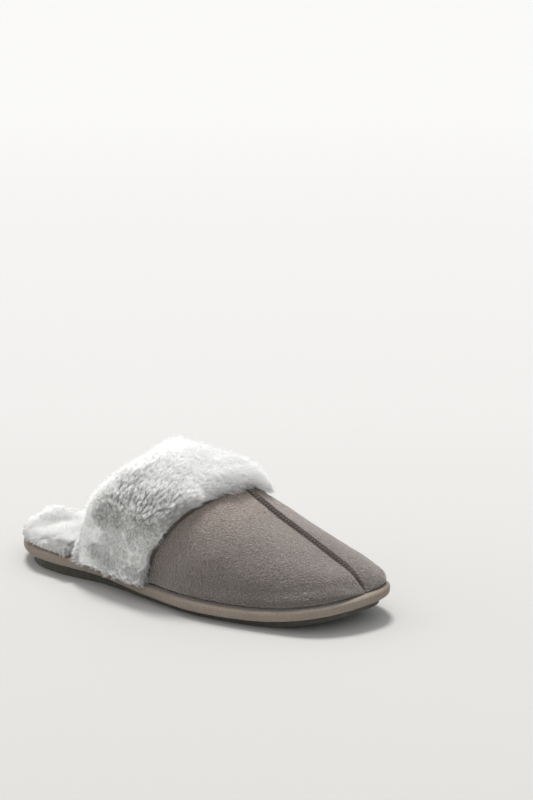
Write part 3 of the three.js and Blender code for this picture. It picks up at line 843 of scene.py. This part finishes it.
class Pile:
    """Fur between two grids: skin is where it grows from and tips is the face that it fills out to."""

    def __init__(self, skin, tips):
        self.skin, self.tips = skin, tips
        corners = tips[:-1, :-1], tips[1:, :-1], tips[1:, 1:], tips[:-1, 1:]
        diagonals = np.cross(corners[2] - corners[0], corners[3] - corners[1])
        self.area = np.linalg.norm(diagonals, axis=2) / 2
        self.down = unit(np.gradient(skin, axis=0))
        self.across = unit(np.gradient(tips, axis=1))

    def undercoat(self, name, share, lumps, shade=None):
        """The body of the fur, up to a share of its height, with soft lumps, and faces of painted shade
        where shade is given.
        """
        body = mix(self.skin, self.tips, share if np.isscalar(share) else share[..., None])
        swell = noise(body, 6, 41) * lumps + noise(body, 2.4, 42) * lumps * 0.6
        body = body + unit(self.tips - self.skin) * swell[..., None]
        points, quads = ribbon_solid(body, self.skin)
        slots = None
        # Faces where the given shade is high take the darker copy of the undercoat: painted shade.
        if shade is not None:
            amount = np.concatenate([shade, np.zeros_like(shade)], axis=1).ravel()[quads].mean(axis=1)
            slots = amount > 0.5 + 0.35 * noise(points[quads[:, 0]], 3, 43)
        return add_mesh(name, points, [quads], [MATERIALS["undercoat"], MATERIALS["shade"]], slots)

    def scatter(self, count, rng, weight=None):
        """Places on the pile, evenly over its face: (row, column) with fractions."""
        chance = (self.area if weight is None else self.area * weight).ravel()
        cell = np.searchsorted(np.cumsum(chance) / chance.sum(), rng.random(count))
        cell = np.minimum(cell, chance.size - 1)
        row, column = np.divmod(cell, self.area.shape[1])
        return row + rng.random(count), column + rng.random(count)


# Millimetres, or shares of the pile's height. Rings are a strand's sections, and taper their widths.
HAIR = {
    "root_share": 0.5, "bend_share": 0.85, "length": (0.86, 1.08), "longer": 0.3, "stray": 0.25,
    "width": 0.25, "widths": (0.75, 1.2), "rings": (0.0, 0.42, 0.78), "taper": (1.0, 0.85, 0.5),
}
TUFT = {"pull": (0.6, 1.15), "most_pull": 0.92, "own_lean": 0.2, "spread": 0.4}
HAIRS_PER_PIECE = 12000


def strands(name, root, bend, tip, width, grey):
    """Pieces of closed three-sided tapering strands, each along a curve from root to tip."""
    count = len(root)
    along = unit(tip - root)
    side = unit(np.cross(along, np.array([0.31, 0.87, 0.4])))
    up = np.cross(along, side)
    rings = []
    for t, taper in zip(HAIR["rings"], HAIR["taper"]):
        centre = (1 - t) ** 2 * root + 2 * t * (1 - t) * bend + t * t * tip
        for k in range(3):
            angle = k * 2 * math.pi / 3
            radius = (width * taper / 2)[:, None]
            rings.append(centre + radius * (side * math.cos(angle) + up * math.sin(angle)))
    points = np.stack([*rings, tip], axis=1)
    quads = [(a + k, a + (k + 1) % 3, a + 3 + (k + 1) % 3, a + 3 + k) for a in (0, 3) for k in range(3)]
    triangles = [(6 + k, 6 + (k + 1) % 3, 9) for k in range(3)] + [(2, 1, 0)]
    pieces = []
    for part, start in enumerate(range(0, count, HAIRS_PER_PIECE)):
        chosen = slice(start, min(start + HAIRS_PER_PIECE, count))
        size = chosen.stop - chosen.start
        base = (np.arange(size) * 10)[:, None, None]
        tone = grey[chosen].astype(int)[:, None]
        middle, end = np.repeat(1 + 2 * tone, 3, axis=1), np.repeat(2 + 2 * tone, 3, axis=1)
        quad_slots = np.concatenate([np.zeros((size, 3), int), middle], axis=1)
        triangle_slots = np.concatenate([end, np.zeros((size, 1), int)], axis=1)
        piece = add_mesh(
            f"{name}_{part + 1:02d}", points[chosen].reshape(-1, 3),
            [(base + np.array(quads)).reshape(-1, 4), (base + np.array(triangles)).reshape(-1, 3)],
            MATERIALS["hairs"], np.concatenate([quad_slots.ravel(), triangle_slots.ravel()]),
        )
        pieces.append(finish_piece(piece, "faux_fur"))
    return pieces


def grow(name, pile, count, seed, comb, tufts, grey, loose, weight=None):
    """Strands over a pile, from grids: comb is how far each tip leans, tufts how strongly the tips
    gather and how wide a tuft is, grey and loose the share of grey strands and of longer ones."""
    tuft, tuft_size = tufts
    rng = np.random.default_rng(seed)
    place = pile.scatter(count, rng, weight)
    skin, face = between(pile.skin, *place), between(pile.tips, *place)
    lean = between(comb, *place)
    height = np.linalg.norm(face - skin, axis=1, keepdims=True)
    length = rng.uniform(*HAIR["length"], (count, 1))
    length += HAIR["longer"] * (rng.random(count) < between(loose, *place))[:, None]
    tip = mix(skin, face, length) + lean + rng.normal(0, HAIR["stray"], (count, 3))
    # Tufts: tips gather towards the middle of their tuft, which leans its own way.
    middles = pile.scatter(round(pile.area.sum() / tuft_size**2), rng, weight)
    middle_face = between(pile.tips, *middles)
    own_lean = rng.normal(0, TUFT["own_lean"] * tuft_size, (len(middle_face), 3))
    middle_tip = middle_face + (between(comb, *middles) + own_lean)
    tree = KDTree(len(middle_face))
    for i, point in enumerate(middle_face):
        tree.insert(point, i)
    tree.balance()
    goal = middle_tip[[tree.find(point)[1] for point in face]]
    pull = (between(tuft, *place) * rng.uniform(*TUFT["pull"], count))[:, None]
    goal = goal + rng.normal(0, TUFT["spread"], (count, 3))
    tip = mix(tip, goal, np.clip(pull, 0, TUFT["most_pull"]))
    root = mix(skin, face, HAIR["root_share"])
    bend = mix(skin, face, HAIR["bend_share"]) + 0.25 * lean + rng.normal(0, HAIR["stray"], (count, 3))
    tone = noise(face, 5, seed + 1) * 0.2 + rng.random(count)
    width = HAIR["width"] * rng.uniform(*HAIR["widths"], count) * np.clip(height[:, 0] / 8, 0.6, 1)
    return strands(name, root, bend, tip, width, tone < between(grey, *place))


# ---- the cuff ---------------------------------------------------------------------------------------

CUFF_GRID = {"rises": 110, "leg": 70, "roll": 36, "inner": 30}
CUFF_HAIRS = 84000
# The pile's height along the outer leg: (share from the topline to the sewn edge, share of the pile).
CUFF_SECTION = [(0, 1), (0.5, 1), (0.7, 0.99), (0.86, 0.88), (0.96, 0.6), (1, 0.28)]
# A lock of fur that points to the toe, just past the crest on the medial side. Its place and width are
# shares of the way from the crest to the rim, its reach is in millimetres, and it fades over its rows.
LOCK = {"across": 0.16, "width": 0.15, "reach": 3.5, "rows": 34}
# The front edge's spill over the suede, in millimetres, and the rows over which the lumps take its place.
SPILL = {"mean": 0.3, "wide": 2.2, "narrow": 1.2, "least": -1, "rows": 14}
CUFF_LUMP_HEIGHT = 1.3
# How far the cuff's hairs lean by place, in millimetres, and the lean's shares.
CUFF_COMB = {
    "everywhere": 0.8, "front": 3.0, "front_tousled": 2.2, "top": 3.8, "below": 4.6, "above": 6.2,
    "low_upright": 0.6, "low_tousled": 1.8, "turned": 4.0,
    "strays": 1.2, "strays_below": 1.0, "strays_top": 0.7,
}


def cuff_pile():
    """The cuff's skin and tips: rows run from its sewn front edge back, round the topline and inside."""
    inner_face = SUEDE_THICKNESS + PADDING_THICKNESS + 2 * GAP
    centre = (inner_face + CUFF["inner_pile"] - CUFF["pile"]) / 2
    radius = (inner_face + CUFF["inner_pile"] + CUFF["pile"]) / 2
    edge = 4 * GAP
    pile_at = profile(CUFF_SECTION)
    skins, tips = [], []
    for side in SIDES:
        rise = np.linspace(0, 1, CUFF_GRID["rises"])
        front = cuff_front(side, rise)
        start = upper_point(side, 0 * rise, rise, 0)
        back = unit(start - upper_point(side, 0 * rise + 0.03, rise, 0))

        def behind(distance, depth):
            point = upper_point(side, 0 * rise, rise, depth) + back * distance
            point[:, 2] = np.maximum(point[:, 2], platform_top(point[:, 0]) + GAP)
            return point

        skin_rows, tip_rows = [], []
        for share in np.sin(np.linspace(math.pi / 2, 0, CUFF_GRID["leg"])):
            height = float(pile_at(share)) * CUFF["pile"]
            skin_rows.append(upper_point(side, front * share, rise, -GAP))
            tip_rows.append(upper_point(side, front * share, rise, -GAP - height))
        for turn in np.linspace(0, math.pi, CUFF_GRID["roll"] + 2)[1:-1]:
            skin_rows.append(behind(edge * math.sin(turn), mix(-GAP, inner_face, turn / math.pi)))
            tip_rows.append(behind(CUFF["roll"] * math.sin(turn), centre - radius * math.cos(turn)))
        for along in np.linspace(0, LINING_SPAN[0] - 0.02, CUFF_GRID["inner"]):
            skin_rows.append(upper_point(side, 0 * rise + along, rise, inner_face))
            depth = inner_face + CUFF["inner_pile"] * (1 - 1.5 * along)
            tip_rows.append(upper_point(side, 0 * rise + along, rise, depth))
        skins.append(np.array(skin_rows))
        tips.append(np.array(tip_rows))
    skin, tip = [np.concatenate([g[0], g[1][:, ::-1][:, 1:]], axis=1) for g in (skins, tips)]
    lumps = noise(tip, 19, 63) + 0.5 * noise(tip, 8, 64)
    away = smoothstep(np.arange(len(tip)), 0, SPILL["rows"])[:, None, None]
    # The front edge spills over the suede, further in some places than in others.
    spill = SPILL["mean"] + SPILL["wide"] * noise(tip, 7, 66) + SPILL["narrow"] * noise(tip, 3, 67)
    spill = np.maximum(spill, SPILL["least"])
    across = np.linspace(-1, 1, tip.shape[1])
    lock = LOCK["reach"] * np.exp(-((across - LOCK["across"]) / LOCK["width"]) ** 2)
    lock = lock * (1 - smoothstep(np.arange(len(tip)), 0, LOCK["rows"]))[:, None]
    forward = -unit(np.gradient(skin, axis=0))
    tip = tip + unit(tip - skin) * (CUFF_LUMP_HEIGHT * lumps)[..., None] * away
    return Pile(skin, tip + forward * (spill[..., None] * (1 - away) + lock[..., None]))


def cuff():
    pile = cuff_pile()
    rows, columns = pile.skin.shape[:2]
    leg = CUFF_GRID["leg"]
    row = np.arange(rows)[:, None] * np.ones(columns)
    rise = 1 - np.abs(np.linspace(-1, 1, columns))[None] * np.ones((rows, 1))
    downhill = pile.across * np.sign(np.linspace(-1, 1, columns))[None, :, None]
    forward = -pile.down
    on_leg = 1 - smoothstep(row, leg - 8, leg)
    front = 1 - smoothstep(row, 0, 22)
    turned = smoothstep(row, leg - 8, leg + 4) * (1 - smoothstep(row, leg + 22, leg + 36))
    top = smoothstep(rise, 0.6, 0.9)
    low = 1 - smoothstep(rise, 0.0, 0.16)
    tousled = noise(pile.tips, 5, 65)
    # The fur parts along a wavering line on each side: above it leans up, below it hangs down.
    parting = 0.30 + 0.09 * noise(pile.tips, 28, 61)
    below = smoothstep(parting - rise, -0.04, 0.12)
    above = smoothstep(rise - parting, -0.04, 0.12) * (1 - top)
    # Where the fur parts it is ruffled, and painted shade goes there: darker undercoat faces and more grey
    # strands.
    ruffled_and_shaded = smoothstep(rise - parting, -0.12, 0.04) * (1 - smoothstep(rise - parting, 0.06, 0.46))
    ruffled_and_shaded = ruffled_and_shaded * on_leg * (1 - 0.6 * front)
    lean = CUFF_COMB
    onward = lean["everywhere"] + (lean["front"] + lean["front_tousled"] * tousled) * front
    onward = onward + lean["top"] * top
    down = lean["below"] * below * (1 - lean["low_upright"] * low) + lean["low_tousled"] * low * tousled
    strays = lean["strays"] + lean["strays_below"] * below - lean["strays_top"] * top
    comb = (
        forward * (on_leg * onward)[..., None]
        + downhill * (on_leg * (down - lean["above"] * above))[..., None]
        + np.array([-1, 0, -0.3]) * (lean["turned"] * turned * low)[..., None]
        + swirl(pile.tips, 10, 62) * strays[..., None]
    )
    tuft = 0.35 + 0.2 * ruffled_and_shaded + 0.35 * below - 0.2 * top * on_leg
    loose = 0.1 * (1 - 0.8 * top * on_leg)
    # Grey strands: the fur's own grey everywhere, and more in the parting as painted shade.
    grey = 0.10 + 0.25 * ruffled_and_shaded
    body = pile.undercoat("cuff_undercoat", 0.84 - 0.18 * ruffled_and_shaded, 0.35, ruffled_and_shaded)
    finish_piece(body, "faux_fur", "fur_cuff", fill=0.8)
    grow("cuff_hair", pile, CUFF_HAIRS, 101, comb, (tuft, 2.7), grey, loose)


# ---- the footbed ------------------------------------------------------------------------------------

FOOTBED_GRID = {"stations": 190, "across": 56}
FOOTBED_HAIRS = 60000
# The rounded heel end, for the direction in which the fur falls over the edge.
HEEL = {"centre_x": -90, "length": 38, "half_width": 32}


def footbed_pile():
    heel_x, toe_x, y = outline_sides(footbed_inset)
    turn = np.linspace(0.02, math.pi - 0.02, FOOTBED_GRID["stations"])
    x = mix(heel_x, toe_x, (1 - np.cos(turn)) / 2)
    lateral, medial = y["lateral"](x), y["medial"](x)
    share = (1 - np.cos(np.linspace(0, math.pi, FOOTBED_GRID["across"]))) / 2
    across = mix(lateral[:, None], medial[:, None], share[None])
    station = np.broadcast_to(x[:, None], across.shape)
    base = platform_top(station) + 2 * GAP + foam_thickness(station)
    edge = np.minimum(across - lateral[:, None], medial[:, None] - across)
    ends = np.minimum(station - heel_x, toe_x - station)
    dome = np.sqrt(np.clip(np.minimum(edge, ends) / 7, 0.02, 1))
    height = pile_height(station) * mix(0.45, 1, dome)
    skin = np.stack([station, across, base], -1)
    tips = skin + np.stack([np.zeros_like(height), np.zeros_like(height), height], -1)
    return Pile(skin, tips)


# How far the footbed's hairs lean, in millimetres: at its edge, at the corners beside the cuff, everywhere.
FOOTBED_COMB = {
    "edge": 2.8, "edge_down": 5.2, "corner": 3.5, "corner_down": 1.5, "strays": 3, "heelward": 1.5,
}
# Where along X the corners beside the cuff begin and end.
CORNER = {"begins": (-98, -74), "ends": (-62, -50)}
# The footbed in front of this X is inside the slipper, out of sight, and has this share of the hairs.
HIDDEN = {"from_x": -35, "share": 0.15}


def footbed():
    pile = footbed_pile()
    station, across = pile.skin[..., 0], pile.skin[..., 1]
    middle = (across.max(axis=1) + across.min(axis=1))[:, None] / 2
    half = (across.max(axis=1) - across.min(axis=1))[:, None] / 2 + 1e-6
    off_centre = np.clip((across - middle) / half, -1, 1)
    outward = unit(np.stack([
        np.minimum(station - HEEL["centre_x"], 0) / HEEL["length"] ** 2,
        (across - middle) / HEEL["half_width"] ** 2 + 1e-9,
    ], -1))
    from_edge = np.minimum(half * (1 - np.abs(off_centre)), station - station.min())
    droop = 1 - smoothstep(from_edge, 0.5, 6)
    corner = smoothstep(station, *CORNER["begins"]) * (1 - smoothstep(station, *CORNER["ends"]))
    corner = corner * np.abs(off_centre) ** 2
    lean = FOOTBED_COMB
    reach = lean["edge"] * droop + lean["corner"] * corner
    comb = np.stack([
        outward[..., 0] * reach + lean["corner"] * corner, outward[..., 1] * reach,
        -lean["edge_down"] * droop - lean["corner_down"] * corner,
    ], -1)
    comb = comb + swirl(pile.tips, 15, 71) * (lean["strays"] - droop)[..., None]
    comb = comb + np.array([-lean["heelward"], 0, 0])
    tuft = 0.22 + 0.4 * droop
    shown = 1.0 + 1.4 * droop + 1.5 * corner
    bare = np.where(station > HIDDEN["from_x"], HIDDEN["share"], shown)[:-1, :-1]
    # Patches of painted shade: darker undercoat faces and more grey strands, where there are also more of
    # the longer hairs.
    shaded_and_loose_patches = 0.42 + 0.3 * noise(pile.tips, 9, 72)
    loose = 0.1 + 0.25 * smoothstep(shaded_and_loose_patches, 0.3, 0.7)
    # More grey strands in the patches: the fur's own grey, and painted shade that dims the heel fur.
    grey = 0.1 + loose
    body = pile.undercoat("footbed_undercoat", 0.56 - 0.36 * droop, 0.6, shaded_and_loose_patches)
    finish_piece(body, "faux_fur", "footbed_fur", fill=0.6)
    grow("footbed_hair", pile, FOOTBED_HAIRS, 202, comb, (tuft, 3.8), grey, loose, weight=bare)


# ---- the lining -------------------------------------------------------------------------------------


def lining(side):
    """Plush inside the upper, seen through the foot opening."""
    depth = SUEDE_THICKNESS + PADDING_THICKNESS + 2 * GAP
    along = np.linspace(*LINING_SPAN, 90)[:, None]
    rise = np.linspace(0, 0.985, 70)[None]
    outer = upper_point(side, along, rise, depth)
    inner = upper_point(side, along, rise, depth + LINING_THICKNESS)
    lumps = noise(inner, 5, 51) * 0.5 + noise(inner, 2, 52) * 0.3
    inner = inner + unit(outer - inner) * (lumps + 0.4)[..., None]
    points, quads = ribbon_solid(outer, inner)
    piece = add_mesh(f"plush_{side}", points, [quads], [MATERIALS["plush"]])
    finish_piece(piece, "plush_lining", f"vamp_lining_{side}", fill=0.4)


tape()
for side_name in SIDES:
    panel(side_name)
    lining(side_name)
seam_stitches()
cuff()
footbed()

# ---- camera, floor and light ------------------------------------------------------------------------

VIEW = {
    "azimuth": 31.26, "elevation": 18.09, "distance": 1151.9, "target": (20.61, 0, 85.61),
    "focal": 1848.8, "centre": (-43.59, 63.5), "long_side": 800,
}
SENSOR = 36


def camera():
    azimuth, elevation = math.radians(VIEW["azimuth"]), math.radians(VIEW["elevation"])
    back = Vector((
        math.sin(azimuth) * math.cos(elevation), -math.cos(azimuth) * math.cos(elevation),
        math.sin(elevation),
    ))
    data = bpy.data.cameras.new("camera")
    data.sensor_width = SENSOR
    data.lens = VIEW["focal"] * SENSOR / VIEW["long_side"]
    data.shift_x = -VIEW["centre"][0] / VIEW["long_side"]
    data.shift_y = VIEW["centre"][1] / VIEW["long_side"]
    data.clip_start, data.clip_end = 0.05, 120
    holder = bpy.data.objects.new("camera", data)
    bpy.context.scene.collection.objects.link(holder)
    target = Vector(to_frame(VIEW["target"]))
    holder.location = target + back * (VIEW["distance"] * MM)
    holder.rotation_euler = back.to_track_quat("Z", "Y").to_euler()
    bpy.context.scene.camera = holder


# A floor of paper, half as wide as it says in metres. Its colour is painted light: darker on the camera's
# side and paler with depth.
FLOOR = {
    "half": 50, "roughness": 0.9, "specular": 0.1, "depth_direction": (-0.5, 0.85, 0), "depth": (-0.6, 2.2),
    "near": (0.418, 0.412, 0.399), "middle": (0.508, 0.504, 0.494), "far": (0.552, 0.550, 0.546),
}


def floor():
    half = FLOOR["half"]
    corners = [(-half, -half, 0), (half, -half, 0), (half, half, 0), (-half, half, 0)]
    mesh = bpy.data.meshes.new("floor")
    mesh.from_pydata(corners, [], [(0, 1, 2, 3)])
    shader = Shader("floor_paper", FLOOR["near"], FLOOR["roughness"])
    shader.principled.inputs["Specular IOR Level"].default_value = FLOOR["specular"]
    # Painted light: the paper's colour pales with its depth from the camera's side.
    depth = shader.node("ShaderNodeVectorMath", operation="DOT_PRODUCT")
    depth.inputs[1].default_value = FLOOR["depth_direction"]
    shader.link(shader.where(), depth.inputs[0])
    spread = shader.node("ShaderNodeMapRange", From_Min=FLOOR["depth"][0], From_Max=FLOOR["depth"][1])
    shader.link(depth.outputs["Value"], spread.inputs["Value"])
    stops = [(0, FLOOR["near"]), (0.35, FLOOR["middle"]), (1, FLOOR["far"])]
    shader.paint(shader.ramp(spread.outputs["Result"], stops))
    mesh.materials.append(shader.material)
    piece = bpy.data.objects.new("floor", mesh)
    bpy.context.scene.collection.objects.link(piece)


def distant_lamp(name, strength, direction, spread_degrees, color):
    """Light that comes from a direction, soft by its spread."""
    data = bpy.data.lights.new(name, "SUN")
    data.energy, data.color, data.angle = strength, color, math.radians(spread_degrees)
    holder = bpy.data.objects.new(name, data)
    bpy.context.scene.collection.objects.link(holder)
    holder.rotation_euler = Vector(direction).normalized().to_track_quat("Z", "Y").to_euler()


# The sky's brightness by height, from the horizon, which meets the floor's far end, to overhead.
SKY = {"tint": (0.97, 0.98, 1.0), "levels": [(0, 0.92), (0.2, 0.58), (1, 1.02)]}


def light():
    """A soft box overhead and a little from behind, under a sky that is darkest low above the horizon."""
    world = bpy.data.worlds.new("studio")
    world.use_nodes = True
    tree = world.node_tree
    background = tree.nodes["Background"]
    place = tree.nodes.new("ShaderNodeTexCoord")
    height = tree.nodes.new("ShaderNodeSeparateXYZ")
    sky = tree.nodes.new("ShaderNodeValToRGB")
    sky.color_ramp.interpolation = "EASE"
    sky.color_ramp.elements.new(0.5)
    for element, (position, level) in zip(sky.color_ramp.elements, SKY["levels"]):
        element.position = position
        element.color = (*scaled(SKY["tint"], level), 1)
    tree.links.new(place.outputs["Generated"], height.inputs["Vector"])
    tree.links.new(height.outputs["Z"], sky.inputs["Fac"])
    tree.links.new(sky.outputs["Color"], background.inputs["Color"])
    bpy.context.scene.world = world
    distant_lamp("key", 2.78, (-0.22, 0.21, 0.95), 16, (1, 0.985, 0.965))
    distant_lamp("side", 0.5, (-0.88, -0.25, 0.40), 50, (1, 0.99, 0.98))
    bpy.context.scene.view_settings.view_transform = "Standard"


camera()
floor()
light()
